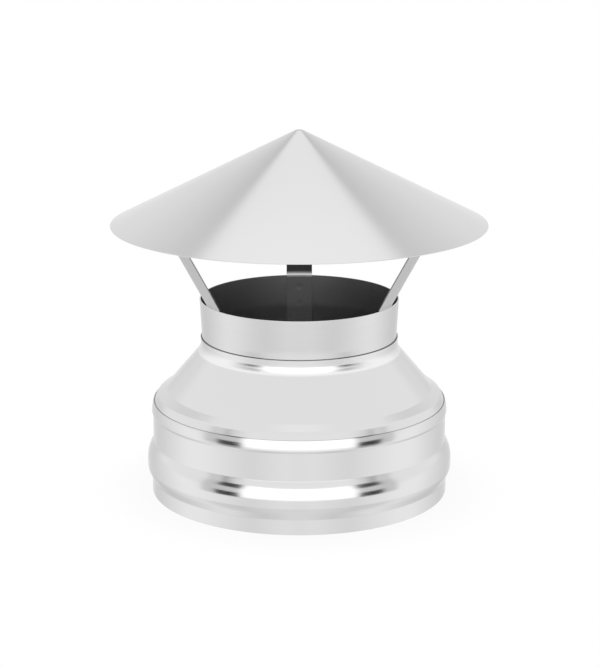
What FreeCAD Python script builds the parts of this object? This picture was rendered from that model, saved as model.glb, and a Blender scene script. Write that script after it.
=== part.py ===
import FreeCAD, Part
import math
import os

# Twin-wall chimney cap: a rain hood on three strap struts, which stand in the mouth of the
# flue tube, and a conical cover that closes the ring between the tube and the outer skirt.
# Millimetres. The origin is the centre of the skirt's bottom edge, and +Z is up.

# Sheet and fits
sheet = 0.5             # wall of the skirt, the cone cover and the hood
nest_gap = 0.1          # between the cone cover's flange and the skirt around it
collar_gap = 0.2        # between the collar and the flue tube inside it

# Skirt, from its bottom edge upwards; a flank is the height of a slanted stretch
casing_r = 100.0        # outside radius of the casing pipe, which the skirt's wall continues
casing_slip = 0.6       # radial slip of the socket over the casing pipe
socket_height = 10.2
bulge_rise = 4.1        # how far the wide bead stands out from the wall
bulge_low_flank = 6.5
bulge_band = 10.6
bulge_high_flank = 9.1
bulge_crease_bend = 0.8
bulge_low_bend = 7.4
bulge_high_bend = 4.3
wall_foot_bend = 17.5
wall_height = 17.7
lock_bead_rise = 0.8    # the narrow bead is rolled through the skirt and the flange inside it
lock_bead_flank = 2.4
lock_bead_band = 1.7
lock_bead_bend = 2.4
lock_crease_bend = 1.2
lip_start = 0.4         # straight stretch above the narrow bead
lip_turn = 24.0         # degrees that the skirt's lip curls in over the shoulder

# Cone cover
flange_depth = 5.0      # flange below the narrow bead
shoulder_bend = 8.8
shoulder_slope = 31.6   # degrees from level
shoulder_width = 8.9    # from the flange in to the kink below the cone
kink_bend = 4.0
cone_slope = 50.1       # degrees from level
collar_bend = 4.0
collar_height = 7.8

# Flue tube
flue_bore_r = 65.4
tube_wall = 0.8
tube_recess = 1.8       # from the socket's inner end up to the tube's lower end
spigot_length = 36.0
stop_bead_rise = 1.2
stop_bead_flank = 2.5
stop_bead_band = 1.5
stop_bead_bend = 1.0
neck_straight = 4.6     # from the collar's edge to the start of the flare
flare_height = 21.4
flare_out = 1.2
flare_bend = 60.0

# Hood
hood_r = 126.4
hood_slope = 26.8       # degrees from level
hood_gap = 51.4         # clear height from the tube's rim to the hood's rim
apex_r = 1.8            # radius of the corner that the nose is rounded from
apex_bend = 6.0

# Strap struts, evenly spaced from the first one's azimuth in degrees
STRUT_NAMES = ["strut_back", "strut_front_left", "strut_front_right"]
first_azimuth = 90.0
strut_width = 18.0
strut_thickness = 1.0
strut_bend = 2.0        # inner radius of the two bends
strut_corner = 2.5      # rounding of the strap's corners
foot_below_flare = 17.0
rim_clearance = 0.8     # height of the lower bend above the tube's rim
tab_length = 16.0
tab_inset = 10.6        # from the hood's rim in to the tab's end
weld_mark_r = 2.4
weld_mark_depth = 0.2
weld_marks = 2          # on each foot and on each tab
foot_mark_depth = 8.0   # from the tube's rim down to the upper weld mark
foot_mark_pitch = 12.0
tab_mark_pitch = 7.0


def tangent(degrees):
    return math.tan(math.radians(degrees))


# A path is a list of corners (r, z, bend radius) in the half plane through the axis. It runs
# along one face of a sheet, and the sheet's thickness lies on the left of its direction.

def direction(a, b):
    length = math.hypot(b[0] - a[0], b[1] - a[1])
    return ((b[0] - a[0]) / length, (b[1] - a[1]) / length)


def crossing(p, u, q, w):
    """Where the line through p along u meets the line through q along w."""
    spread = u[0] * w[1] - u[1] * w[0]
    along = ((q[0] - p[0]) * w[1] - (q[1] - p[1]) * w[0]) / spread
    return (p[0] + u[0] * along, p[1] + u[1] * along)


def offset_path(path, distance):
    """The path of the parallel face, at this distance on the left."""
    headings = [direction(a, b) for a, b in zip(path, path[1:])]
    shifted = [(p[0] - u[1] * distance, p[1] + u[0] * distance) for p, u in zip(path, headings)]
    first = shifted[0]
    result = [(first[0], first[1], 0.0)]
    for i in range(1, len(headings)):
        before, after = headings[i - 1], headings[i]
        corner = crossing(shifted[i - 1], before, shifted[i], after)
        turns_left = before[0] * after[1] - before[1] * after[0] > 0
        bend = path[i][2] - distance if turns_left else path[i][2] + distance
        result.append((corner[0], corner[1], bend))
    last, heading = path[-1], headings[-1]
    result.append((last[0] - heading[1] * distance, last[1] + heading[0] * distance, 0.0))
    return result


def point(p):
    return FreeCAD.Vector(p[0], 0, p[1])


def bend_points(before, corner, after):
    """The start, middle and end of the arc that rounds a corner."""
    back = direction(corner, before)
    ahead = direction(corner, after)
    half = math.acos(back[0] * ahead[0] + back[1] * ahead[1]) / 2
    reach = corner[2] / math.tan(half)
    middle = direction((0, 0), (back[0] + ahead[0], back[1] + ahead[1]))
    inwards = corner[2] / math.sin(half) - corner[2]
    return (
        (corner[0] + back[0] * reach, corner[1] + back[1] * reach),
        (corner[0] + middle[0] * inwards, corner[1] + middle[1] * inwards),
        (corner[0] + ahead[0] * reach, corner[1] + ahead[1] * reach),
    )


def path_edges(path):
    """Straight stretches joined by tangent arcs; a stretch with no length is left out."""
    edges = []
    here = path[0]
    for before, corner, after in zip(path, path[1:], path[2:]):
        start, middle, end = bend_points(before, corner, after)
        if math.hypot(start[0] - here[0], start[1] - here[1]) > 1e-6:
            edges.append(Part.LineSegment(point(here), point(start)).toShape())
        edges.append(Part.Arc(point(start), point(middle), point(end)).toShape())
        here = end
    if math.hypot(path[-1][0] - here[0], path[-1][1] - here[1]) > 1e-6:
        edges.append(Part.LineSegment(point(here), point(path[-1])).toShape())
    return edges


def sheet_section(path, thickness):
    """The face between a path and its parallel."""
    other = offset_path(path, thickness)
    edges = path_edges(path) + path_edges(other)
    for a, b in ((path[0], other[0]), (path[-1], other[-1])):
        edges.append(Part.LineSegment(point(a), point(b)).toShape())
    return Part.Face(Part.Wire(Part.__sortEdges__(edges)))


def spun(section, degrees=360.0):
    return section.revolve(FreeCAD.Vector(0, 0, 0), FreeCAD.Vector(0, 0, 1), degrees)


# Heights that follow from the sizes above

socket_r = casing_r + casing_slip
land_r = socket_r + sheet
bulge_r = casing_r + bulge_rise
bulge_low_z = socket_height + bulge_low_flank
bulge_high_z = bulge_low_z + bulge_band
wall_foot_z = bulge_high_z + bulge_high_flank
wall_top_z = wall_foot_z + wall_height
lock_low_z = wall_top_z + lock_bead_flank
lock_high_z = lock_low_z + lock_bead_band
lock_top_z = lock_high_z + lock_bead_flank
lip_z = lock_top_z + lip_start

tube_r = flue_bore_r + tube_wall
collar_r = tube_r + collar_gap + sheet
flange_r = casing_r - sheet - nest_gap
kink_r = flange_r - shoulder_width
shoulder_z = lip_z + shoulder_bend * tangent((90 - shoulder_slope) / 2)
kink_z = shoulder_z + shoulder_width * tangent(shoulder_slope)
cone_top_z = kink_z + (kink_r - collar_r) * tangent(cone_slope)
collar_z = cone_top_z + collar_height

tube_foot_z = socket_height + tube_recess
stop_bead_z = tube_foot_z + spigot_length
flare_z = collar_z + neck_straight
rim_z = flare_z + flare_height
hood_z = rim_z + hood_gap
apex_z = hood_z + hood_r * tangent(hood_slope)


def hood_height(r):
    """Height of the hood's outer face at a radius."""
    return apex_z - r * tangent(hood_slope)


# Faces of the sheets

def lock_bead(r, rise):
    """The narrow bead's corners on the skirt's outer face."""
    return [
        (r, wall_top_z, lock_crease_bend),
        (r + rise, lock_low_z, lock_bead_bend),
        (r + rise, lock_high_z, lock_bead_bend),
        (r, lock_top_z, lock_crease_bend),
    ]


def skirt_path():
    lip_bend = shoulder_bend + nest_gap + sheet
    reach = lip_bend * tangent(lip_turn / 2)
    turn = math.radians(lip_turn)
    lip_end = (casing_r - reach * math.sin(turn), lip_z + reach * (1 + math.cos(turn)), 0.0)
    return [
        (land_r, 0.0, 0.0),
        (land_r, socket_height, bulge_crease_bend),
        (bulge_r, bulge_low_z, bulge_low_bend),
        (bulge_r, bulge_high_z, bulge_high_bend),
        (casing_r, wall_foot_z, wall_foot_bend),
        *lock_bead(casing_r, lock_bead_rise),
        (casing_r, lip_z + reach, lip_bend),
        lip_end,
    ]


def cone_cover_path():
    """Flange, narrow bead and shoulder lie inside the skirt, a nest gap from its inner face."""
    depth = sheet + nest_gap
    around = [(casing_r, wall_top_z - flange_depth, 0.0), *lock_bead(casing_r, lock_bead_rise)]
    around.append((casing_r, lip_z, 0.0))
    flange = offset_path(around, depth)[:-1]
    return [
        *flange,
        (flange_r, shoulder_z, shoulder_bend),
        (kink_r, kink_z, kink_bend),
        (collar_r, cone_top_z, collar_bend),
        (collar_r, collar_z, 0.0),
    ]


def flue_tube_path():
    bead_r = tube_r + stop_bead_rise
    bead_low_z = stop_bead_z + stop_bead_flank
    bead_high_z = bead_low_z + stop_bead_band
    return [
        (tube_r, tube_foot_z, 0.0),
        (tube_r, stop_bead_z, stop_bead_bend),
        (bead_r, bead_low_z, stop_bead_bend),
        (bead_r, bead_high_z, stop_bead_bend),
        (tube_r, bead_high_z + stop_bead_flank, stop_bead_bend),
        (tube_r, flare_z, flare_bend),
        (tube_r + flare_out, rim_z, 0.0),
    ]


def hood_path():
    nose_z = hood_height(apex_r)
    return [(hood_r, hood_z, 0.0), (apex_r, nose_z, apex_bend), (0.0, nose_z, 0.0)]


def strut_path():
    """Up the tube's inner face, out over the rim and along under the hood towards its rim."""
    inside = offset_path(flue_tube_path(), tube_wall)
    flare, rim = inside[-2], inside[-1]
    up = direction(flare, rim)
    over_rim = rim_z + rim_clearance
    bend_r = flare[0] + up[0] / up[1] * (over_rim - flare[1])
    slope = math.radians(hood_slope)
    below = (sheet + strut_thickness) / math.cos(slope)
    end_r = hood_r - tab_inset
    top_r = end_r - tab_length * math.cos(slope)
    return [
        (flare[0], flare[1] - foot_below_flare, 0.0),
        flare,
        (bend_r, over_rim, strut_bend),
        (top_r, hood_height(top_r) - below, strut_bend),
        (end_r, hood_height(end_r) - below, 0.0),
    ]


# Pieces

def weld_mark(seat, free_side):
    """The cap of a ball that presses a shallow round mark into the face at a seat."""
    ball_r = (weld_mark_r ** 2 + weld_mark_depth ** 2) / (2 * weld_mark_depth)
    away = ball_r - weld_mark_depth
    centre = point((seat[0] + free_side[0] * away, seat[1] + free_side[1] * away))
    latitude = math.degrees(math.asin(1 - 3 * weld_mark_depth / ball_r))
    return Part.makeSphere(ball_r, centre, point((-free_side[0], -free_side[1])), latitude, 90, 360)


def strut_marks(path):
    """Spot weld marks on the free faces of the foot and the tab."""
    inner = offset_path(path, strut_thickness)
    down = direction(inner[2], inner[1])
    upper = crossing(inner[1], down, (0.0, rim_z - foot_mark_depth), (1.0, 0.0))
    corner, end = path[3], path[4]
    along = direction(corner, end)
    middle = tab_length / 2
    marks = []
    for i in range(weld_marks):
        step = i * foot_mark_pitch
        marks.append(weld_mark((upper[0] + down[0] * step, upper[1] + down[1] * step), (-1.0, 0.0)))
        step = middle + (i - (weld_marks - 1) / 2) * tab_mark_pitch
        seat = (corner[0] + along[0] * step, corner[1] + along[1] * step)
        marks.append(weld_mark(seat, (along[1], -along[0])))
    return marks


def round_corners(strap, path):
    """Rounds the four corners at the strap's two ends."""
    ends = [point(path[0]), point(path[-1])]
    near = strut_width / 2 + strut_thickness
    short = [
        edge
        for edge in strap.Edges
        if abs(edge.Length - strut_thickness) < strut_thickness / 4
        and min(edge.CenterOfMass.distanceToPoint(end) for end in ends) < near
        and abs(abs(edge.CenterOfMass.y) - strut_width / 2) < strut_thickness / 4
    ]
    return strap.makeFillet(min(strut_corner, strut_width / 2.5), short)


def strut(azimuth):
    """One strap, pressed to the curve of the tube and the hood, with parallel sides."""
    path = strut_path()
    narrowest = path[0][0] - strut_thickness
    half_turn = math.degrees(math.asin((strut_width / 2 + strut_thickness) / narrowest))
    fan = spun(sheet_section(path, strut_thickness), 2 * half_turn)
    fan.rotate(FreeCAD.Vector(0, 0, 0), FreeCAD.Vector(0, 0, 1), -half_turn)
    corner = FreeCAD.Vector(0, -strut_width / 2, 0)
    strap = fan.common(Part.makeBox(hood_r, strut_width, apex_z, corner))
    strap = round_corners(strap, path)
    for mark in strut_marks(path):
        strap = strap.cut(mark)
    strap.rotate(FreeCAD.Vector(0, 0, 0), FreeCAD.Vector(0, 0, 1), azimuth)
    return strap


pieces = {
    "skirt": spun(sheet_section(skirt_path(), sheet)),
    "cone_cover": spun(sheet_section(cone_cover_path(), sheet)),
    "flue_tube": spun(sheet_section(flue_tube_path(), tube_wall)),
    "hood": spun(sheet_section(hood_path(), sheet)),
}
for i, name in enumerate(STRUT_NAMES):
    pieces[name] = strut(first_azimuth + i * 360.0 / len(STRUT_NAMES))

os.makedirs("parts", exist_ok=True)
for name, shape in pieces.items():
    print(name, shape.isValid(), len(shape.Solids), "solid,", round(shape.Volume, 1), "mm3")
    shape.Solids[0].exportStep("parts/" + name + ".step")
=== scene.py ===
import bisect
import math
from collections import namedtuple

import bpy
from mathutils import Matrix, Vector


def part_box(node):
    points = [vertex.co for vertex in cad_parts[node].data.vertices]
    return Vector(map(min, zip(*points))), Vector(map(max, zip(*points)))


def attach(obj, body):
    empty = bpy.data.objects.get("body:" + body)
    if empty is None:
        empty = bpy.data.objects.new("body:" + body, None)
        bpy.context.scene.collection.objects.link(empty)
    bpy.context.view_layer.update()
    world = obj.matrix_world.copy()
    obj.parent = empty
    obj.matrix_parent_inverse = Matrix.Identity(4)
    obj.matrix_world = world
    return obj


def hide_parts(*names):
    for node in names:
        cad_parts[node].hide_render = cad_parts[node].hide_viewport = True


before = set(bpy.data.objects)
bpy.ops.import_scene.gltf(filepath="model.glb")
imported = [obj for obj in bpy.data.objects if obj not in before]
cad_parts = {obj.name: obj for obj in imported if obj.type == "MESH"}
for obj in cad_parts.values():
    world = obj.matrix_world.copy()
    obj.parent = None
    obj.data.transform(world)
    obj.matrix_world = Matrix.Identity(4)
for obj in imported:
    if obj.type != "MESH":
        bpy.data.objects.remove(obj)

bl_info = {
    "name": "Chimney cap",
    "version": (1, 0, 0),
    "blender": (4, 5, 0),
    "location": "View3D > Sidebar > Chimney cap",
    "description": "Builds a twin-wall chimney cap in bright rolled sheet and its studio",
    "category": "Mesh",
}

MM = 0.001
STRUTS = ("strut_back", "strut_front_left", "strut_front_right")
FIRST_STRUT = math.radians(90)
SHARP = math.radians(40)
EASE_TURNS = (math.radians(30), math.radians(60))

# A turn, a radius and a distance below these count as none.
NO_TURN = 1e-6
ON_AXIS = 1e-9
SAME_POINT = 1e-7

BRIGHT = (0.76, 0.76, 0.765)
SATIN = (0.72, 0.72, 0.725)
PALE_FLOOR = (0.95, 0.95, 0.95, 1.0)
WHITE = (1.0, 1.0, 1.0, 1.0)


# Kinds of property

def length(name, description, mm):
    return bpy.props.FloatProperty(
        name=name, description=description, default=mm * MM, min=0.0, precision=5, unit="LENGTH"
    )


def angle(name, description, degrees):
    return bpy.props.FloatProperty(
        name=name, description=description, default=math.radians(degrees), subtype="ANGLE"
    )


def share(name, description, value):
    return bpy.props.FloatProperty(
        name=name, description=description, default=value, min=0.0, max=1.0, subtype="FACTOR"
    )


def count(name, description, value):
    return bpy.props.IntProperty(name=name, description=description, default=value, min=1)


def colour(name, description, value):
    return bpy.props.FloatVectorProperty(
        name=name, description=description, default=value, min=0.0, max=1.0, size=3, subtype="COLOR"
    )


def reach(node):
    """Half the width of a node of the frame, in millimetres."""
    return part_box(node)[1].x / MM


def bottom(node):
    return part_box(node)[0].z / MM


def top(node):
    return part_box(node)[1].z / MM


class SheetSizes(bpy.types.PropertyGroup):
    """Thickness, fits and fineness that all the sheets share."""

    sheet: length("Sheet", "Wall of the skirt, the cone cover and the hood", 0.5)
    nest_gap: length("Nest gap", "Between the cone cover's flange and the skirt around it", 0.1)
    cut_edge: length("Cut edge", "Rounding that the shears leave on a cut edge", 0.12)
    around: count("Steps around", "Faces around a spun piece", 360)
    arc_step: angle("Arc step", "Largest turn between two points of a bend", 5.0)


class SkirtSizes(bpy.types.PropertyGroup):
    """The skirt, from its bottom edge upwards."""

    bulge_r: length("Bulge radius", "Outside radius of the wide bead", reach("skirt"))
    bulge_rise: length("Bulge rise", "How far the wide bead stands out from the wall", 4.1)
    casing_slip: length("Casing slip", "Radial slip of the socket over the casing pipe", 0.6)
    socket_height: length("Socket height", "Straight land below the wide bead", 10.3)
    bulge_low_flank: length("Lower flank", "Height of the wide bead's lower slope", 6.4)
    bulge_band: length("Bulge band", "Height of the wide bead's crest", 11.5)
    bulge_high_flank: length("Upper flank", "Height of the wide bead's upper slope", 7.6)
    bulge_crease_bend: length("Crease bend", "Radius between the land and the wide bead", 0.8)
    bulge_low_bend: length("Lower bend", "Radius at the foot of the crest", 10.8)
    bulge_high_bend: length("Upper bend", "Radius at the top of the crest", 20.0)
    wall_foot_bend: length("Wall foot bend", "Radius where the slope meets the wall", 0.4)
    wall_height: length("Wall height", "Straight wall between the two beads", 18.8)
    lock_bead_rise: length("Lock bead rise", "How far the narrow bead stands out", 0.8)
    lock_bead_flank: length("Lock bead flank", "Height of the narrow bead's lower slope", 1.6)
    lock_bead_bend: length("Lock bead bend", "Radius at the foot of the narrow bead's face", 0.8)
    lock_crease_bend: length("Lock crease bend", "Radius at the narrow bead's foot", 0.8)
    lip_lean: angle("Lip lean", "How far the narrow bead's face leans in at its foot", 3.0)
    lip_turn: angle("Lip turn", "How far it leans in at the lip's edge", 20.0)
    lip_bend: length("Lip bend", "Radius on which it curls in", 21.0)
    lip_height: length("Lip height", "From the face's foot to the lip's edge", 7.2)


class ConeSizes(bpy.types.PropertyGroup):
    """The cone cover between the skirt and the flue tube."""

    flange_z: length(
        "Flange height", "Lower edge of the flange inside the skirt", bottom("cone_cover")
    )
    shoulder_lean: angle("Shoulder lean", "How far the shoulder's foot leans in", 28.0)
    shoulder_bend: length("Shoulder bend", "Radius of the convex shoulder", 3.0)
    shoulder_slope: angle("Shoulder slope", "Slope of the shoulder, from level", 33.0)
    shoulder_rise: length("Shoulder rise", "From the lip's edge up to the kink below the cone", 8.2)
    shoulder_width: length("Shoulder width", "From the flange in to the kink below the cone", 8.9)
    kink_bend: length("Kink bend", "Radius of the kink below the cone", 4.0)
    collar_r: length("Collar radius", "Outside radius of the collar", 66.9)
    collar_bend: length("Collar bend", "Radius between the cone and the collar", 9.0)
    collar_height: length("Collar height", "Straight collar around the tube", 7.8)
    collar_z: length("Collar top", "Top edge of the collar", top("cone_cover"))


class TubeSizes(bpy.types.PropertyGroup):
    """The flue tube, from its lower end upwards."""

    foot_z: length("Lower end", "Height of the tube's lower end", bottom("flue_tube"))
    neck: length("Straight neck", "From the collar's top to the start of the flare", 4.6)
    tube_r: length("Tube radius", "Outside radius of the tube", 66.2)
    bead_rise: length("Stop bead rise", "How far the stop bead stands out", 1.2)
    bead_z: length("Stop bead", "Lower edge of the stop bead", 48.0)
    bead_flank: length("Stop bead flank", "Height of each slope of the stop bead", 2.5)
    bead_band: length("Stop bead band", "Height of the stop bead's crest", 1.5)
    bead_bend: length("Stop bead bend", "Radius of the stop bead's bends", 1.0)
    wall: length("Tube wall", "Thickness of the tube", 0.8)
    flare_height: length("Flare height", "From the start of the flare to the rim", 21.4)
    flare_out: length("Flare", "How far the rim stands out from the tube", 1.2)
    flare_bend: length("Flare bend", "Radius at the start of the flare", 60.0)


class HoodSizes(bpy.types.PropertyGroup):
    """The rain hood."""

    hood_r: length("Hood radius", "Outside radius of the hood", reach("hood"))
    slope: angle("Hood slope", "Slope of the hood, from level", 26.8)
    gap: length("Hood gap", "Clear height from the tube's rim to the hood's rim", 51.4)
    nose_r: length("Nose radius", "Radius of the corner that the nose is rounded from", 1.8)
    nose_bend: length("Nose bend", "Rounding of the nose", 6.0)


class StrutSizes(bpy.types.PropertyGroup):
    """The three strap struts."""

    width: length("Strap width", "Width of each strap", 18.0)
    thickness: length("Strap thickness", "Thickness of each strap", 1.0)
    bend: length("Strap bend", "Inner radius of the two bends", 2.0)
    corner: length("Strap corner", "Rounding of the strap's four corners", 2.5)
    foot: length("Foot", "How far the foot reaches below the start of the flare", 17.0)
    rim_clearance: length("Rim clearance", "Height of the lower bend above the tube's rim", 0.8)
    tab: length("Tab", "Length of the tab under the hood", 16.0)
    tab_inset: length("Tab inset", "From the hood's rim in to the tab's end", 10.6)
    mark_r: length("Weld mark radius", "Radius of each spot weld's mark", 2.4)
    mark_depth: length("Weld mark depth", "Depth of each spot weld's mark", 0.1)
    foot_mark_depth: length("Foot mark", "From the tube's rim down to the upper mark", 8.0)
    foot_mark_pitch: length("Foot mark pitch", "Between the marks on a foot", 12.0)
    tab_mark_pitch: length("Tab mark pitch", "Between the marks on a tab", 7.0)
    grid: length("Grid", "Spacing of the strap's mesh", 0.6)


class Finishes(bpy.types.PropertyGroup):
    """Colours and gloss of the sheets."""

    casing_tint: colour("Casing sheet", "Colour of the skirt and the cone cover", BRIGHT)
    hood_tint: colour("Hood sheet", "Colour of the hood", BRIGHT)
    flue_tint: colour("Flue sheet", "Colour of the flue tube", SATIN)
    strap_tint: colour("Strap", "Colour of the struts", SATIN)
    casing_gloss: share("Casing roughness", "Roughness of the skirt and the cone cover", 0.15)
    hood_gloss: share("Hood roughness", "Roughness of the hood", 0.13)
    flue_gloss: share("Flue roughness", "Roughness of the flue tube", 0.2)
    strap_gloss: share("Strap roughness", "Roughness of the struts", 0.28)


class StageSizes(bpy.types.PropertyGroup):
    """Camera, floor and studio."""

    lens: bpy.props.FloatProperty(
        name="Lens", description="Focal length", default=107.95, min=1.0, unit="CAMERA"
    )
    distance: length("Distance", "From the camera to the point that it looks at", 1359.6)
    pitch: angle("Pitch", "How far the camera looks down", 14.7)
    aim_z: length("Aim height", "Height of the point that the camera looks at", 108.0)
    aim_x: length("Aim offset", "Sideways place of the point that the camera looks at", 0.5)
    floor: length("Floor", "Half the side of the square floor", 6000.0)
    shade_near: length("Shade start", "Radius at which the floor's shade begins to fade", 101.0)
    shade_far: length("Shade end", "Radius outside which the floor is plain background", 150.0)
    glow: share("Background share", "How much of the floor at the skirt is background", 0.88)
    clear_ring: length("Clear ring", "Width over which the floor leaves the reflections", 8.0)


# Sections. A path is a list of corners (r, z, bend radius) in the half plane through the axis.
# It runs along one face of a sheet, and the sheet's thickness lies on the left of its direction.

def heading(a, b):
    span = math.hypot(b[0] - a[0], b[1] - a[1])
    return ((b[0] - a[0]) / span, (b[1] - a[1]) / span)


def crossing(p, u, q, w):
    """Where the line through p along u meets the line through q along w."""
    spread = u[0] * w[1] - u[1] * w[0]
    along = ((q[0] - p[0]) * w[1] - (q[1] - p[1]) * w[0]) / spread
    return (p[0] + u[0] * along, p[1] + u[1] * along)


def offset_path(path, distance):
    """The path of the parallel face, at this distance on the left."""
    headings = [heading(a, b) for a, b in zip(path, path[1:])]
    shifted = [(p[0] - u[1] * distance, p[1] + u[0] * distance) for p, u in zip(path, headings)]
    result = [(shifted[0][0], shifted[0][1], 0.0)]
    for i in range(1, len(headings)):
        before, after = headings[i - 1], headings[i]
        corner = crossing(shifted[i - 1], before, shifted[i], after)
        turns_left = before[0] * after[1] - before[1] * after[0] > 0
        result.append((*corner, path[i][2] - distance if turns_left else path[i][2] + distance))
    last, end = path[-1], headings[-1]
    result.append((last[0] - end[1] * distance, last[1] + end[0] * distance, 0.0))
    return result


def bend_points(before, corner, after, step):
    """Points and right-hand normals of the arc that rounds a corner."""
    into, out = heading(before, corner), heading(corner, after)
    start_normal, end_normal = (into[1], -into[0]), (out[1], -out[0])
    turn = math.atan2(into[0] * out[1] - into[1] * out[0], into[0] * out[0] + into[1] * out[1])
    if corner[2] <= 0.0 or abs(turn) < NO_TURN:
        return [(corner[0], corner[1], *start_normal)]
    back = corner[2] * math.tan(abs(turn) / 2)
    side = math.copysign(corner[2], turn)
    start = (corner[0] - into[0] * back, corner[1] - into[1] * back)
    centre = (start[0] - into[1] * side, start[1] + into[0] * side)
    steps = max(2, math.ceil(abs(turn) / step))
    points = []
    for i in range(steps + 1):
        part = turn * i / steps
        nx = start_normal[0] * math.cos(part) - start_normal[1] * math.sin(part)
        ny = start_normal[0] * math.sin(part) + start_normal[1] * math.cos(part)
        points.append((centre[0] + nx * side, centre[1] + ny * side, nx, ny))
    return points


def line_points(path, step):
    """Points (r, z, normal r, normal z) of an open path, whose normals are on its right."""
    first, last = heading(path[0], path[1]), heading(path[-2], path[-1])
    points = [(path[0][0], path[0][1], first[1], -first[0])]
    for before, corner, after in zip(path, path[1:], path[2:]):
        points += bend_points(before, corner, after, step)
    points.append((path[-1][0], path[-1][1], last[1], -last[0]))
    return points


def sheet_outline(path, thickness, cut_edge, step):
    """The outline of a sheet as points with outward normals, and whether it is closed.

    It stays open on the axis, where the path of the hood ends.
    """
    there = path
    back = offset_path(path, thickness)[::-1]
    if path[-1][0] == 0.0:
        rim = [(p[0], p[1], cut_edge) for p in (back[-1], there[0])]
        return line_points([*back[:-1], *rim, *there[1:]], step), False
    ring = [
        (there[0][0], there[0][1], cut_edge),
        *there[1:-1],
        (there[-1][0], there[-1][1], cut_edge),
        (back[0][0], back[0][1], cut_edge),
        *back[1:-1],
        (back[-1][0], back[-1][1], cut_edge),
    ]
    points = []
    for i, corner in enumerate(ring):
        points += bend_points(ring[i - 1], corner, ring[(i + 1) % len(ring)], step)
    return points, True


def mesh_object(name, vertices, faces, normals=None):
    mesh = bpy.data.meshes.new(name)
    mesh.from_pydata(vertices, [], faces)
    mesh.validate()
    mesh.shade_smooth()
    if normals:
        mesh.normals_split_custom_set_from_vertices(normals)
    else:
        mesh.set_sharp_from_angle(angle=SHARP)
    piece = bpy.data.objects.new(name, mesh)
    bpy.context.scene.collection.objects.link(piece)
    return piece


def spun(name, outline, around):
    """The piece that an outline sweeps around the axis."""
    points, closed = outline
    vertices, normals, rows = [], [], []
    for r, z, normal_r, normal_z in points:
        if r < ON_AXIS:
            rows.append([len(vertices)] * around)
            vertices.append((0.0, 0.0, z))
            normals.append((0.0, 0.0, math.copysign(1.0, normal_z)))
            continue
        rows.append(range(len(vertices), len(vertices) + around))
        for i in range(around):
            turn = math.tau * i / around
            c, s = math.cos(turn), math.sin(turn)
            vertices.append((r * c, r * s, z))
            normals.append((normal_r * c, normal_r * s, normal_z))
    faces = []
    pairs = list(zip(rows, rows[1:]))
    if closed:
        pairs.append((rows[-1], rows[0]))
    for low, high in pairs:
        for i in range(around):
            j = (i + 1) % around
            corners = [low[i], low[j], high[j], high[i]]
            faces.append(list(dict.fromkeys(corners)))
    return mesh_object(name, vertices, faces, normals)


class Levels:
    """Radii and heights that follow from the sizes."""

    def __init__(self, cap):
        sheet, skirt, cone, tube, hood = cap.sheet, cap.skirt, cap.cone, cap.tube, cap.hood
        self.casing_r = skirt.bulge_r - skirt.bulge_rise
        self.land_r = self.casing_r + skirt.casing_slip + sheet.sheet
        self.bulge_low_z = skirt.socket_height + skirt.bulge_low_flank
        self.bulge_high_z = self.bulge_low_z + skirt.bulge_band
        self.wall_foot_z = self.bulge_high_z + skirt.bulge_high_flank
        self.wall_top_z = self.wall_foot_z + skirt.wall_height
        self.lock_low_z = self.wall_top_z + skirt.lock_bead_flank
        self.crest_r = self.casing_r + skirt.lock_bead_rise
        back = skirt.lip_bend * math.tan((skirt.lip_turn - skirt.lip_lean) / 2)
        self.lip_z = self.lock_low_z + skirt.lip_height
        self.lip_corner_z = self.lip_z - back * math.cos(skirt.lip_turn)
        face_height = self.lip_corner_z - self.lock_low_z
        self.lip_corner_r = self.crest_r - face_height * math.tan(skirt.lip_lean)
        self.lip_r = self.lip_corner_r - back * math.sin(skirt.lip_turn)
        self.flange_r = self.casing_r - sheet.sheet - sheet.nest_gap
        self.kink_r = self.flange_r - cone.shoulder_width
        self.kink_z = self.lip_z + cone.shoulder_rise
        self.cone_top_z = cone.collar_z - cone.collar_height
        self.flare_z = cone.collar_z + tube.neck
        self.rim_z = self.flare_z + tube.flare_height
        self.hood_z = self.rim_z + hood.gap
        self.hood_fall = math.tan(hood.slope)
        self.apex_z = self.hood_z + hood.hood_r * self.hood_fall

    def hood_height(self, r):
        """Height of the hood's outer face at a radius."""
        return self.apex_z - r * self.hood_fall


def lock_bead(cap, at):
    """The narrow bead on the skirt's outer face, from its foot to the lip's edge."""
    skirt = cap.skirt
    return [
        (at.casing_r, at.wall_top_z, skirt.lock_crease_bend),
        (at.crest_r, at.lock_low_z, skirt.lock_bead_bend),
        (at.lip_corner_r, at.lip_corner_z, skirt.lip_bend),
        (at.lip_r, at.lip_z, 0.0),
    ]


def skirt_path(cap, at):
    """Up the skirt's outer face."""
    skirt = cap.skirt
    return [
        (at.land_r, 0.0, 0.0),
        (at.land_r, skirt.socket_height, skirt.bulge_crease_bend),
        (skirt.bulge_r, at.bulge_low_z, skirt.bulge_low_bend),
        (skirt.bulge_r, at.bulge_high_z, skirt.bulge_high_bend),
        (at.casing_r, at.wall_foot_z, skirt.wall_foot_bend),
        *lock_bead(cap, at),
    ]


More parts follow.
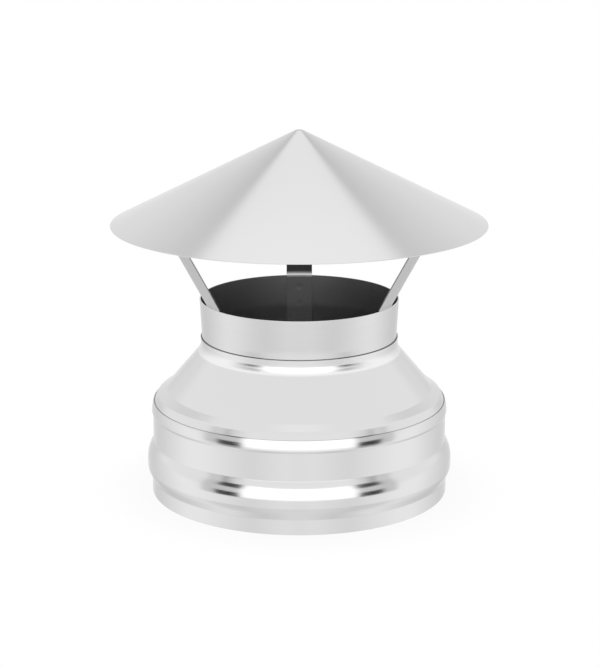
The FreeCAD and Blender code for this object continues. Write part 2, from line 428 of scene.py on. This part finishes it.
def cone_cover_path(cap, at):
    """Up the cover's outer face, whose flange lies inside the skirt with the nest gap between."""
    cone = cap.cone
    around = [(at.casing_r, cone.flange_z, 0.0), *lock_bead(cap, at)]
    *flange, lip = offset_path(around, cap.sheet.sheet + cap.sheet.nest_gap)
    lean = (-math.sin(cone.shoulder_lean), math.cos(cone.shoulder_lean))
    slope = (-math.cos(cone.shoulder_slope), math.sin(cone.shoulder_slope))
    shoulder = crossing(lip, lean, (at.kink_r, at.kink_z), slope)
    return [
        *flange,
        (lip[0], lip[1], cone.shoulder_bend),
        (*shoulder, cone.shoulder_bend),
        (at.kink_r, at.kink_z, cone.kink_bend),
        (cone.collar_r, at.cone_top_z, cone.collar_bend),
        (cone.collar_r, cone.collar_z, 0.0),
    ]


def flue_tube_path(cap, at):
    """Up the tube's outer face."""
    tube = cap.tube
    bead_r = tube.tube_r + tube.bead_rise
    bead_low_z = tube.bead_z + tube.bead_flank
    bead_high_z = bead_low_z + tube.bead_band
    return [
        (tube.tube_r, tube.foot_z, 0.0),
        (tube.tube_r, tube.bead_z, tube.bead_bend),
        (bead_r, bead_low_z, tube.bead_bend),
        (bead_r, bead_high_z, tube.bead_bend),
        (tube.tube_r, bead_high_z + tube.bead_flank, tube.bead_bend),
        (tube.tube_r, at.flare_z, tube.flare_bend),
        (tube.tube_r + tube.flare_out, at.rim_z, 0.0),
    ]


def hood_path(cap, at):
    """Up the hood's outer face, from its rim to the axis."""
    hood = cap.hood
    nose_z = at.hood_height(hood.nose_r)
    return [
        (hood.hood_r, at.hood_z, 0.0),
        (hood.nose_r, nose_z, hood.nose_bend),
        (0.0, nose_z, 0.0),
    ]


def strut_path(cap, at):
    """Up the tube's inner face, out over the rim and along under the hood towards its rim."""
    strut = cap.struts
    inside = offset_path(flue_tube_path(cap, at), cap.tube.wall)
    flare, rim = inside[-2], inside[-1]
    up = heading(flare, rim)
    over_rim = at.rim_z + strut.rim_clearance
    bend_r = flare[0] + up[0] / up[1] * (over_rim - flare[1])
    below = (cap.sheet.sheet + strut.thickness) / math.cos(cap.hood.slope)
    end_r = cap.hood.hood_r - strut.tab_inset
    top_r = end_r - strut.tab * math.cos(cap.hood.slope)
    return [
        (flare[0], flare[1] - strut.foot, 0.0),
        flare,
        (bend_r, over_rim, strut.bend),
        (top_r, at.hood_height(top_r) - below, strut.bend),
        (end_r, at.hood_height(end_r) - below, 0.0),
    ]


class Track:
    """A path as a line that can be asked for the point and the normal at any distance along it."""

    def __init__(self, path, step):
        self.points = []
        for p in line_points(path, step):
            if not self.points or math.dist(p[:2], self.points[-1][:2]) > SAME_POINT:
                self.points.append(p)
        self.along = [0.0]
        for a, b in zip(self.points, self.points[1:]):
            self.along.append(self.along[-1] + math.dist(a[:2], b[:2]))
        self.length = self.along[-1]

    def at(self, distance):
        i = min(max(bisect.bisect_right(self.along, distance) - 1, 0), len(self.along) - 2)
        part = (distance - self.along[i]) / (self.along[i + 1] - self.along[i])
        return [a + (b - a) * part for a, b in zip(self.points[i], self.points[i + 1])]

    def nearest(self, r, z):
        """Distance along the path of the point nearest to (r, z)."""
        i = min(range(len(self.points)), key=lambda k: math.dist(self.points[k][:2], (r, z)))
        best = (math.inf, 0.0)
        for a in range(max(i - 1, 0), min(i + 1, len(self.points) - 1)):
            p, q = self.points[a], self.points[a + 1]
            u = heading(p, q)
            span = self.along[a + 1] - self.along[a]
            part = min(max((r - p[0]) * u[0] + (z - p[1]) * u[1], 0.0), span)
            gap = math.dist((p[0] + u[0] * part, p[1] + u[1] * part), (r, z))
            best = min(best, (gap, self.along[a] + part))
        return best[1]


def strap_ring(width, thickness, cut_edge, grid):
    """Points (sideways place, depth from the outer face) around the strap's section.

    The number of points on a flat face comes with them.
    """
    flat = width / 2 - cut_edge
    steps = math.ceil(2 * flat / grid)
    face = [-flat + 2 * flat * i / steps for i in range(steps + 1)]
    ease = [(flat + cut_edge * math.sin(a), cut_edge - cut_edge * math.cos(a)) for a in EASE_TURNS]
    ease.append((width / 2, cut_edge))
    ease += [(y, thickness - depth) for y, depth in reversed(ease)]
    right = [(y, 0.0) for y in face] + ease
    return right + [(-y, thickness - depth) for y, depth in right], len(face)


def weld_dent(strut, marks, along, y):
    """Depth of the spot welds' round marks at a point of the strap's face."""
    ball_r = (strut.mark_r ** 2 + strut.mark_depth ** 2) / (2 * strut.mark_depth)
    dent = 0.0
    for mark in marks:
        gap = math.hypot(along - mark, y)
        if gap < strut.mark_r:
            dent += math.sqrt(ball_r ** 2 - gap ** 2) - ball_r + strut.mark_depth
    return dent


def strap_marks(cap, at, track):
    """Distances along the strap of the weld marks on its foot and of those on its tab."""
    strut = cap.struts
    upper_z = at.rim_z - strut.foot_mark_depth
    foot_r = track.points[0][0]
    foot = [track.nearest(foot_r, upper_z - i * strut.foot_mark_pitch) for i in (0, 1)]
    middle = track.length - strut.tab / 2
    tab = [middle + side * strut.tab_mark_pitch / 2 for side in (-1, 1)]
    return foot, tab


def strap(name, cap, at, turn):
    """One strut, pressed to the curve of the tube and the hood, with parallel sides."""
    strut = cap.struts
    track = Track(strut_path(cap, at), cap.sheet.arc_step)
    foot, tab = strap_marks(cap, at, track)
    ring, face_count = strap_ring(strut.width, strut.thickness, cap.sheet.cut_edge, strut.grid)
    steps = math.ceil(track.length / strut.grid)
    straight = strut.width / 2 - strut.corner
    c, s = math.cos(turn), math.sin(turn)
    vertices = []
    for i in range(steps + 1):
        for y, depth in ring:
            over = max(abs(y) - straight, 0.0)
            pull = strut.corner - math.sqrt(max(strut.corner ** 2 - over ** 2, 0.0))
            along = pull + (track.length - 2 * pull) * i / steps
            if depth == strut.thickness:
                depth -= weld_dent(strut, foot, along, y)
            elif depth == 0.0:
                depth += weld_dent(strut, tab, along, y)
            r, z, normal_r, normal_z = track.at(along)
            r, z = r - normal_r * depth, z - normal_z * depth
            x = math.sqrt(r * r - y * y)
            vertices.append((x * c - y * s, x * s + y * c, z))
    around = len(ring)
    faces = []
    for i in range(steps):
        low, high = i * around, (i + 1) * around
        for j in range(around):
            k = (j + 1) % around
            faces.append((low + j, low + k, high + k, high + j))
    opposite = around // 2 + face_count - 1
    eased = (around // 2 - face_count) // 2
    for j in range(-eased, face_count - 1 + eased):
        end = [k % around for k in (j, j + 1, opposite - j - 1, opposite - j)]
        faces.append(end[::-1])
        faces.append([steps * around + k for k in end])
    return mesh_object(name, vertices, faces)


# Shaders

class Tone:
    """A number that varies over a surface. Arithmetic on it adds Math nodes."""

    def __init__(self, shader, socket):
        self.shader = shader
        self.socket = socket

    def __add__(self, other):
        return self.shader.math("ADD", self, other)

    def __radd__(self, other):
        return self.shader.math("ADD", other, self)

    def __sub__(self, other):
        return self.shader.math("SUBTRACT", self, other)

    def __rsub__(self, other):
        return self.shader.math("SUBTRACT", other, self)

    def __mul__(self, other):
        return self.shader.math("MULTIPLY", self, other)

    def __rmul__(self, other):
        return self.shader.math("MULTIPLY", other, self)

    def __truediv__(self, other):
        return self.shader.math("DIVIDE", self, other)

    def __abs__(self):
        return self.shader.math("ABSOLUTE", self)


class Shader:
    """Adds nodes to the node tree of a material or of the world."""

    def __init__(self, owner):
        owner.use_nodes = True
        self.tree = owner.node_tree
        self.tree.nodes.clear()

    def node(self, kind, settings=None, sockets=None):
        """Adds a node: first its settings, a ramp's stops among them, and then its sockets."""
        node = self.tree.nodes.new(kind)
        for name, value in (settings or {}).items():
            if name == "stops":
                self.set_stops(node.color_ramp.elements, value)
            else:
                setattr(node, name, value)
        for name, value in (sockets or {}).items():
            if isinstance(value, Tone):
                value = value.socket
            if isinstance(value, bpy.types.NodeSocket):
                self.tree.links.new(value, node.inputs[name])
            else:
                node.inputs[name].default_value = value
        return node

    @staticmethod
    def set_stops(elements, stops):
        """Stops are (place, level) in rising order. The first is at 0 and the last is at 1."""
        for element, (_, level) in zip(elements, (stops[0], stops[-1])):
            element.color = (level, level, level, 1.0)
        for place, level in stops[1:-1]:
            elements.new(place).color = (level, level, level, 1.0)

    def math(self, operation, *values):
        node = self.node("ShaderNodeMath", {"operation": operation}, dict(enumerate(values)))
        return Tone(self, node.outputs[0])

    def ramp(self, value, full, stops):
        """The level at a value from 0 to full. The stops are on the value's own scale."""
        scaled = [(place / full, level) for place, level in stops]
        node = self.node("ShaderNodeValToRGB", {"stops": scaled}, {0: value / full})
        return Tone(self, node.outputs[0])

    def smooth(self, value, low, high):
        """0 up to low, 1 from high and soft between. It falls where low is the higher value."""
        sockets = {"Value": value, "From Min": low, "From Max": high}
        node = self.node("ShaderNodeMapRange", {"interpolation_type": "SMOOTHSTEP"}, sockets)
        return Tone(self, node.outputs[0])

    def within(self, value, first, last):
        """1 between two soft edges."""
        return self.smooth(value, *first) * self.smooth(value, *last)

    def split(self, vector):
        node = self.node("ShaderNodeSeparateXYZ", None, {0: vector})
        return [Tone(self, socket) for socket in node.outputs]

    def noise(self, x, y, z, detail, roughness):
        """Noise from 0 to 1 whose grains measure about one unit of x, y and z."""
        place = self.node("ShaderNodeCombineXYZ", None, {0: x, 1: y, 2: z}).outputs[0]
        sockets = {"Vector": place, "Scale": 1.0, "Detail": detail, "Roughness": roughness}
        return Tone(self, self.node("ShaderNodeTexNoise", None, sockets).outputs[0])

    def tinted(self, tint, tone):
        """A colour made lighter or darker by a tone."""
        sockets = {0: tuple(tint), "Scale": tone}
        return self.node("ShaderNodeVectorMath", {"operation": "SCALE"}, sockets).outputs[0]

    def bump(self, height):
        """The normal of a surface whose height is given in metres."""
        return self.node("ShaderNodeBump", None, {"Distance": 1.0, "Height": height}).outputs[0]

    def finish(self, kind, surface):
        self.node(kind, None, {"Surface": surface})


# Finishes

# Grain: grains to the radian around the axis, grains to the metre across it, detail, roughness.
FINE_LINES = (6.0, 2400.0, 2.0, 0.6)
STREAKS = (2.5, 420.0, 2.0, 0.55)
SWAY = (2.2, 14.0, 1.0, 0.4)
STRAP_LINES = (220.0, 30.0, 2.0, 0.6)
# Clouds: grains to the metre, detail, roughness.
CLOUDS = (22.0, 3.0, 0.55)
STRAP_CLOUDS = (60.0, 3.0, 0.6)

# A soft edge is a pair of values: nothing shows at the first, and all of it at the second.
# How far a surface faces the axis.
FACING_IN = (0.0, -0.4)
# Around the height at which the cone was drawn in to the collar, where the tone carries a painted
# highlight and the roughness is higher.
DRAWN_FOOT, DRAWN_HEAD = (-3.0 * MM, -1.5 * MM), (5.0 * MM, 0.0)
DRAWN_HIGHLIGHT, DRAWN_DULL = 0.24, 0.15
# Painted shade in the gaps at the cut edges of the lip and the collar, and the share of the edge
# over which it fades.
LIP_SHADE, COLLAR_SHADE, CUT_FADE = 0.3, 0.8, 0.4
# The hood's tone in its middle, the painted sheen added to it at the rim, and where that starts.
HOOD_TONE, HOOD_RIM_SHEEN, HOOD_RIM_START = 0.97, 0.04, 0.2
# Painted shade in the bore: how dark it is at the rim and deep down, and how deep that is.
PAINTED_SHADE_AT_RIM, PAINTED_SHADE_DEEP, PAINTED_SHADE_DEPTH = 0.71, 0.47, 45.0 * MM
BORE_DULL, STREAK_TONE = 0.25, 0.05
# Painted shade on the straps, by height over the tube's rim, and on their sides by how far these
# face around the axis.
STRAP_ABOVE, STRAP_BELOW = (-1.0 * MM, 3.5 * MM), (0.5 * MM, -1.5 * MM)
STRAP_SIDES = (0.6, 0.9)
STRAP_INNER_SHADE, STRAP_SIDE_SHADE = 0.96, 0.45
STRAP_BORE_SHADE, STRAP_BORE_DULL = 0.05, 0.2
STRAP_GRAIN_TONE, STRAP_GRAIN_GLOSS, STRAP_GRAIN_DEPTH = 0.03, 0.06, 0.0006 * MM


class SpunPlace:
    """Where a point of a spun piece lies, and how far it faces away from the axis and around it."""

    def __init__(self, shader):
        self.shader = shader
        outputs = shader.node("ShaderNodeTexCoord").outputs
        self.x, self.y, self.z = shader.split(outputs["Object"])
        self.r = shader.math("SQRT", self.x * self.x + self.y * self.y)
        self.turn = shader.math("ARCTAN2", self.x, 0.0 - self.y)
        normal_x, normal_y, _ = shader.split(outputs["Normal"])
        self.facing = (self.x * normal_x + self.y * normal_y) / self.r
        self.sideways = (self.x * normal_y - self.y * normal_x) / self.r

    def grain(self, around, across, *kind):
        """Noise about 0, with its own measures around the axis and across it."""
        noise = self.shader.noise(self.turn * around, self.r * across, self.z * across, *kind)
        return noise - 0.5

    def clouds(self, scale, *kind):
        """Noise about 0, alike in all directions."""
        return self.shader.noise(self.x * scale, self.y * scale, self.z * scale, *kind) - 0.5


def metal(shader, tint, tone, roughness, height, spread):
    """Bare metal, whose gloss is drawn out along the grain by spread."""
    sockets = {
        "Base Color": shader.tinted(tint, tone),
        "Metallic": 1.0,
        "Roughness": roughness,
        "Anisotropic": spread,
        "Normal": shader.bump(height),
    }
    surface = shader.node("ShaderNodeBsdfPrincipled", None, sockets).outputs[0]
    shader.finish("ShaderNodeOutputMaterial", surface)


def painted_bore_shade(shader, at, rim_z):
    """How much painted shade darkens the flue's bore, from the rim down."""
    deep = shader.smooth(at.z, rim_z, rim_z - PAINTED_SHADE_DEPTH)
    return PAINTED_SHADE_AT_RIM - deep * (PAINTED_SHADE_AT_RIM - PAINTED_SHADE_DEEP)


class RolledSheet:
    """Sheet rolled round the axis, with fine grain around it and one butt weld up its back."""

    GRAIN_TONE, GRAIN_GLOSS, GRAIN_DEPTH = 0.015, 0.04, 0.0003 * MM
    SWAY_DEPTH = 0.03 * MM
    WELD_EDGE = (0.9 * MM, 0.4 * MM)
    WELD_SHADE, WELD_DULL, WELD_HEIGHT = 0.18, 0.15, 0.08 * MM
    WELD_ACROSS, WELD_ALONG, WELD_NOISE = 300.0, 1400.0, (1.0, 0.5)
    SPREAD = 0.35

    def __init__(self, name):
        self.material = bpy.data.materials.new(name)
        self.shader = shader = Shader(self.material)
        self.at = at = SpunPlace(shader)
        self.lines = at.grain(*FINE_LINES)
        self.clouds = at.clouds(*CLOUDS)
        sway = at.grain(*SWAY)
        from_weld = (math.pi - abs(at.turn)) * at.r
        self.weld = shader.smooth(from_weld, *self.WELD_EDGE)
        across, along = from_weld * self.WELD_ACROSS, self.WELD_ALONG
        ripple = shader.noise(across, at.r * along, at.z * along, *self.WELD_NOISE)
        grain = (self.clouds + self.lines) * self.GRAIN_TONE
        self.tone = (1.0 + grain) * (1.0 - self.weld * self.WELD_SHADE)
        self.height = self.lines * self.GRAIN_DEPTH + sway * self.SWAY_DEPTH
        self.height = self.height + self.weld * ripple * self.WELD_HEIGHT

    def paint_edge_shade(self, cut_z, height, shade):
        """Paints shade along the cut edge that ends the sheet at this height, where the gap between
        parts lies.
        """
        cut = self.shader.smooth(self.at.z, cut_z - height, cut_z - (1.0 - CUT_FADE) * height)
        self.tone = self.tone * (1.0 - cut * shade)

    def finished(self, tint, roughness):
        grain = (self.clouds + self.lines) * self.GRAIN_GLOSS
        gloss = roughness + grain + self.weld * self.WELD_DULL
        metal(self.shader, tint, self.tone, gloss, self.height, self.SPREAD)
        return self.material


def skirt_sheet(finish, lip_z, cut_height):
    """Bright sheet, with painted shade along its curled lip's cut edge."""
    sheet = RolledSheet("skirt_metal")
    sheet.paint_edge_shade(lip_z, cut_height, LIP_SHADE)
    return sheet.finished(finish.casing_tint, finish.casing_gloss)


def cone_sheet(finish, collar_z, cut_height, drawn_z):
    """Bright sheet with painted shade at the collar's cut edge, and a painted highlight and higher
    roughness where it was drawn in.
    """
    sheet = RolledSheet("cone_metal")
    drawn = sheet.shader.within(sheet.at.z - drawn_z, DRAWN_FOOT, DRAWN_HEAD)
    sheet.paint_edge_shade(collar_z, cut_height, COLLAR_SHADE)
    # A painted highlight on the drawn ring.
    sheet.tone = sheet.tone * (1.0 + drawn * DRAWN_HIGHLIGHT)
    return sheet.finished(finish.casing_tint, finish.casing_gloss + drawn * DRAWN_DULL)


def hood_sheet(finish, hood_r):
    """Bright sheet, with a painted sheen that makes it a little paler towards the rim."""
    sheet = RolledSheet("hood_metal")
    rim = sheet.shader.smooth(sheet.at.r, HOOD_RIM_START * hood_r, hood_r)
    # Painted sheen, paler towards the rim.
    sheet.tone = sheet.tone * (HOOD_TONE + rim * HOOD_RIM_SHEEN)
    return sheet.finished(finish.hood_tint, finish.hood_gloss)


def flue_sheet(finish, rim_z):
    """Satin sheet with faint level streaks, and painted shade on the bore's inner face."""
    sheet = RolledSheet("flue_metal")
    inside = sheet.shader.smooth(sheet.at.facing, *FACING_IN)
    # Painted shade on the bore's inner face, darkest deep down.
    bore_shade_mask = inside * painted_bore_shade(sheet.shader, sheet.at, rim_z)
    sheet.tone = sheet.tone * (1.0 + sheet.at.grain(*STREAKS) * STREAK_TONE) * (1.0 - bore_shade_mask)
    return sheet.finished(finish.flue_tint, finish.flue_gloss + inside * BORE_DULL)


def strap_metal(finish, rim_z):
    """Rolled strip with its grain along it, with painted shade on the side that faces the flue, on
    its sides and on its foot in the bore.
    """
    material = bpy.data.materials.new("strap_metal")
    shader = Shader(material)
    at = SpunPlace(shader)
    lines = at.grain(*STRAP_LINES)
    grain = at.clouds(*STRAP_CLOUDS) + lines
    over_rim = at.z - rim_z
    inner = shader.smooth(at.facing, *FACING_IN) * shader.smooth(over_rim, *STRAP_ABOVE)
    below = shader.smooth(over_rim, *STRAP_BELOW)
    sides = shader.smooth(abs(at.sideways), *STRAP_SIDES)
    # Painted shade: the inner face near the hood, the sides, and the foot inside the bore.
    tone = (1.0 + grain * STRAP_GRAIN_TONE) * (1.0 - inner * STRAP_INNER_SHADE)
    tone = tone * (1.0 - sides * STRAP_SIDE_SHADE)
    tone = tone * (1.0 - below * (painted_bore_shade(shader, at, rim_z) + STRAP_BORE_SHADE))
    gloss = finish.strap_gloss + grain * STRAP_GRAIN_GLOSS + below * STRAP_BORE_DULL
    metal(shader, finish.strap_tint, tone, gloss, lines * STRAP_GRAIN_DEPTH, 0.0)
    return material


# Studio

# Directions are in degrees, a height from the horizon and a side from the front.
# Edges are soft, as in the finishes.
STUDIO_LIGHT = 0.97
BACK_WALL_EDGE = (126.0, 140.0)
LOW_WALLS_EDGE = (10.0, 0.0)
# (height, brightness) behind the object.
BACK_WALL = (
    (0, 0.88), (8, 0.86), (16, 0.865), (24, 0.87), (33, 0.83), (41, 0.785), (48, 0.71),
    (50.5, 0.68), (54.5, 1.03), (68, 1.05), (90, 1.05),
)
# (side, brightness) low down all round.
LOW_WALLS = (
    (0, 0.95), (11, 0.98), (38, 0.87), (55, 0.97), (78, 1.05), (97, 1.05), (115, 0.93),
    (130, 0.83), (142, 0.76), (153, 0.76), (165, 0.85), (180, 0.92),
)
# The bright panel in front.
PANEL_LIGHT = 1.45
PANEL_SIDE, PANEL_FOOT, PANEL_HEAD = (46.0, 40.0), (-13.0, -10.0), (33.0, 30.5)
# The cards on both sides of the panel, and the share of the light that each takes.
Card = namedtuple("Card", "inner outer foot head shade")
CARDS = (
    Card(inner=(44.0, 46.0), outer=(66.0, 62.0), foot=(16.0, 17.5), head=(31.5, 30.0), shade=0.98),
    Card(inner=(44.0, 46.0), outer=(66.0, 62.0), foot=(-13.5, -12.0), head=(2.0, 1.0), shade=0.95),
    Card(inner=(44.0, 46.0), outer=(78.0, 75.0), foot=(-13.5, -12.0), head=(30.0, 28.5), shade=0.3),
)
# The floor near the object is darker by this share, and by twice as much at the sides.
NEAR_FLOOR_SHADE = 0.1
NEAR_FLOOR_EDGE = (-19.0, -28.0)
NEAR_FLOOR_SIDES = ((40.0, 46.0), (85.0, 66.0))


# Operators

class Builder(bpy.types.Operator):
    """What the operators share."""

    bl_options = {"REGISTER", "UNDO"}

    def cap(self, context):
        cap = context.scene.chimney_cap
        return cap, Levels(cap)

    def add_sheet(self, node, cap, path, thickness, material):
        outline = sheet_outline(path, thickness, cap.sheet.cut_edge, cap.sheet.arc_step)
        piece = spun(node + "_sheet", outline, cap.sheet.around)
        piece.data.materials.append(material)
        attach(piece, "root")
        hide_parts(node)
        return piece


class CHIMNEYCAP_OT_skirt(Builder):
    """Adds the beaded skirt that slips over the casing pipe"""

    bl_idname = "chimney_cap.skirt"
    bl_label = "Skirt"

    def execute(self, context):
        cap, at = self.cap(context)
        wall = cap.sheet.sheet
        material = skirt_sheet(cap.finish, at.lip_z, wall)
        piece = self.add_sheet("skirt", cap, skirt_path(cap, at), wall, material)
        return {"FINISHED"}


class CHIMNEYCAP_OT_cone_cover(Builder):
    """Adds the conical cover between the skirt and the flue tube"""

    bl_idname = "chimney_cap.cone_cover"
    bl_label = "Cone cover"

    def execute(self, context):
        cap, at = self.cap(context)
        wall = cap.sheet.sheet
        material = cone_sheet(cap.finish, cap.cone.collar_z, wall, at.cone_top_z)
        piece = self.add_sheet("cone_cover", cap, cone_cover_path(cap, at), wall, material)
        return {"FINISHED"}


class CHIMNEYCAP_OT_flue_tube(Builder):
    """Adds the inner flue tube with its flared neck"""

    bl_idname = "chimney_cap.flue_tube"
    bl_label = "Flue tube"

    def execute(self, context):
        cap, at = self.cap(context)
        wall = cap.tube.wall
        material = flue_sheet(cap.finish, at.rim_z)
        piece = self.add_sheet("flue_tube", cap, flue_tube_path(cap, at), wall, material)
        return {"FINISHED"}


class CHIMNEYCAP_OT_hood(Builder):
    """Adds the conical rain hood"""

    bl_idname = "chimney_cap.hood"
    bl_label = "Rain hood"

    def execute(self, context):
        cap, at = self.cap(context)
        material = hood_sheet(cap.finish, cap.hood.hood_r)
        piece = self.add_sheet("hood", cap, hood_path(cap, at), cap.sheet.sheet, material)
        # The metal below mirrors the studio alone, without the hood or the struts.
        piece.visible_glossy = False
        return {"FINISHED"}


class CHIMNEYCAP_OT_struts(Builder):
    """Adds the three strap struts that carry the hood"""

    bl_idname = "chimney_cap.struts"
    bl_label = "Strap struts"

    def execute(self, context):
        cap, at = self.cap(context)
        material = strap_metal(cap.finish, at.rim_z)
        for i, node in enumerate(STRUTS):
            turn = FIRST_STRUT + i * math.tau / len(STRUTS)
            piece = strap(node + "_strap", cap, at, turn)
            piece.data.materials.append(material)
            piece.visible_glossy = False
            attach(piece, "root")
            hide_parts(node)
        return {"FINISHED"}


class CHIMNEYCAP_OT_stage(Builder):
    """Adds the floor, the studio's light and the camera"""

    bl_idname = "chimney_cap.stage"
    bl_label = "Studio"

    def execute(self, context):
        stage = context.scene.chimney_cap.stage
        self.add_floor(stage)
        self.add_studio(context.scene)
        self.add_camera(context.scene, stage)
        context.scene.view_settings.view_transform = "Standard"
        return {"FINISHED"}

    def add_floor(self, stage):
        """A pale floor with the object's faint shadow. The metal sees the low walls through it."""
        side = stage.floor
        corners = [(-side, -side, 0.0), (side, -side, 0.0), (side, side, 0.0), (-side, side, 0.0)]
        floor = mesh_object("studio_floor", corners, [(0, 1, 2, 3)])
        material = bpy.data.materials.new("studio_floor")
        shader = Shader(material)
        at = SpunPlace(shader)
        path = shader.node("ShaderNodeLightPath").outputs
        far = shader.smooth(at.r, stage.shade_near, stage.shade_far)
        plain = (stage.glow + (1.0 - stage.glow) * far) * Tone(shader, path["Is Camera Ray"])
        open_floor = shader.smooth(at.r, stage.shade_near - stage.clear_ring, stage.shade_near)
        clear = open_floor * Tone(shader, path["Is Glossy Ray"])
        matt = shader.node("ShaderNodeBsdfDiffuse", None, {"Color": PALE_FLOOR}).outputs[0]
        white = shader.node("ShaderNodeEmission", None, {"Strength": 1.0}).outputs[0]
        glass = shader.node("ShaderNodeBsdfTransparent").outputs[0]
        mixed = shader.node("ShaderNodeMixShader", None, {0: plain, 1: matt, 2: white}).outputs[0]
        mixed = shader.node("ShaderNodeMixShader", None, {0: clear, 1: mixed, 2: glass}).outputs[0]
        shader.finish("ShaderNodeOutputMaterial", mixed)
        material.cycles.emission_sampling = "NONE"
        floor.data.materials.append(material)

    def add_studio(self, scene):
        """Soft light from all round, with a bright panel between dark cards in front."""
        scene.world = bpy.data.worlds.new("studio")
        shader = Shader(scene.world)
        x, y, z = shader.split(shader.node("ShaderNodeTexCoord").outputs["Generated"])
        degree = 180.0 / math.pi
        height = shader.math("ARCSINE", z) * degree
        side = abs(shader.math("ARCTAN2", x, 0.0 - y)) * degree
        behind = shader.smooth(side, *BACK_WALL_EDGE)
        light = STUDIO_LIGHT + (shader.ramp(height, 90.0, BACK_WALL) - STUDIO_LIGHT) * behind
        low = shader.smooth(height, *LOW_WALLS_EDGE)
        light = light + (shader.ramp(side, 180.0, LOW_WALLS) - light) * low
        panel = shader.smooth(side, *PANEL_SIDE) * shader.within(height, PANEL_FOOT, PANEL_HEAD)
        light = light + (PANEL_LIGHT - light) * panel
        for card in CARDS:
            held = shader.within(side, card.inner, card.outer)
            held = held * shader.within(height, card.foot, card.head)
            light = light * (1.0 - held * card.shade)
        dim = NEAR_FLOOR_SHADE * (1.0 + shader.within(side, *NEAR_FLOOR_SIDES))
        light = light * (1.0 - shader.smooth(height, *NEAR_FLOOR_EDGE) * dim)
        seen = Tone(shader, shader.node("ShaderNodeLightPath").outputs["Is Camera Ray"])
        light = light + (1.0 - light) * seen
        sockets = {"Color": WHITE, "Strength": light}
        surface = shader.node("ShaderNodeBackground", None, sockets).outputs[0]
        shader.finish("ShaderNodeOutputWorld", surface)

    def add_camera(self, scene, stage):
        camera = bpy.data.cameras.new("camera")
        camera.lens = stage.lens
        holder = bpy.data.objects.new("camera", camera)
        scene.collection.objects.link(holder)
        away = stage.distance * math.cos(stage.pitch)
        lift = stage.distance * math.sin(stage.pitch)
        holder.location = (stage.aim_x, -away, stage.aim_z + lift)
        holder.rotation_euler = (math.pi / 2 - stage.pitch, 0.0, 0.0)
        scene.camera = holder


class CHIMNEYCAP_PT_pieces(bpy.types.Panel):
    """Lists the pieces of the chimney cap"""

    bl_label = "Chimney cap"
    bl_space_type = "VIEW_3D"
    bl_region_type = "UI"
    bl_category = "Chimney cap"

    def draw(self, context):
        for operator in OPERATORS:
            self.layout.operator(operator.bl_idname)


class ChimneyCap(bpy.types.PropertyGroup):
    """All the sizes and colours of the chimney cap."""

    sheet: bpy.props.PointerProperty(type=SheetSizes, name="Sheet")
    skirt: bpy.props.PointerProperty(type=SkirtSizes, name="Skirt")
    cone: bpy.props.PointerProperty(type=ConeSizes, name="Cone cover")
    tube: bpy.props.PointerProperty(type=TubeSizes, name="Flue tube")
    hood: bpy.props.PointerProperty(type=HoodSizes, name="Rain hood")
    struts: bpy.props.PointerProperty(type=StrutSizes, name="Struts")
    finish: bpy.props.PointerProperty(type=Finishes, name="Finishes")
    stage: bpy.props.PointerProperty(type=StageSizes, name="Stage")


OPERATORS = (
    CHIMNEYCAP_OT_skirt,
    CHIMNEYCAP_OT_cone_cover,
    CHIMNEYCAP_OT_flue_tube,
    CHIMNEYCAP_OT_hood,
    CHIMNEYCAP_OT_struts,
    CHIMNEYCAP_OT_stage,
)
GROUPS = (
    SheetSizes,
    SkirtSizes,
    ConeSizes,
    TubeSizes,
    HoodSizes,
    StrutSizes,
    Finishes,
    StageSizes,
    ChimneyCap,
)


def register():
    for group in GROUPS:
        bpy.utils.register_class(group)
    bpy.types.Scene.chimney_cap = bpy.props.PointerProperty(type=ChimneyCap)
    for kind in (*OPERATORS, CHIMNEYCAP_PT_pieces):
        bpy.utils.register_class(kind)


def unregister():
    for kind in (CHIMNEYCAP_PT_pieces, *reversed(OPERATORS)):
        bpy.utils.unregister_class(kind)
    del bpy.types.Scene.chimney_cap
    for group in reversed(GROUPS):
        bpy.utils.unregister_class(group)


def main():
    register()
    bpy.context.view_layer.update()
    bpy.ops.chimney_cap.skirt()
    bpy.ops.chimney_cap.cone_cover()
    bpy.ops.chimney_cap.flue_tube()
    bpy.ops.chimney_cap.hood()
    bpy.ops.chimney_cap.struts()
    bpy.ops.chimney_cap.stage()


if __name__ == "__main__":
    main()
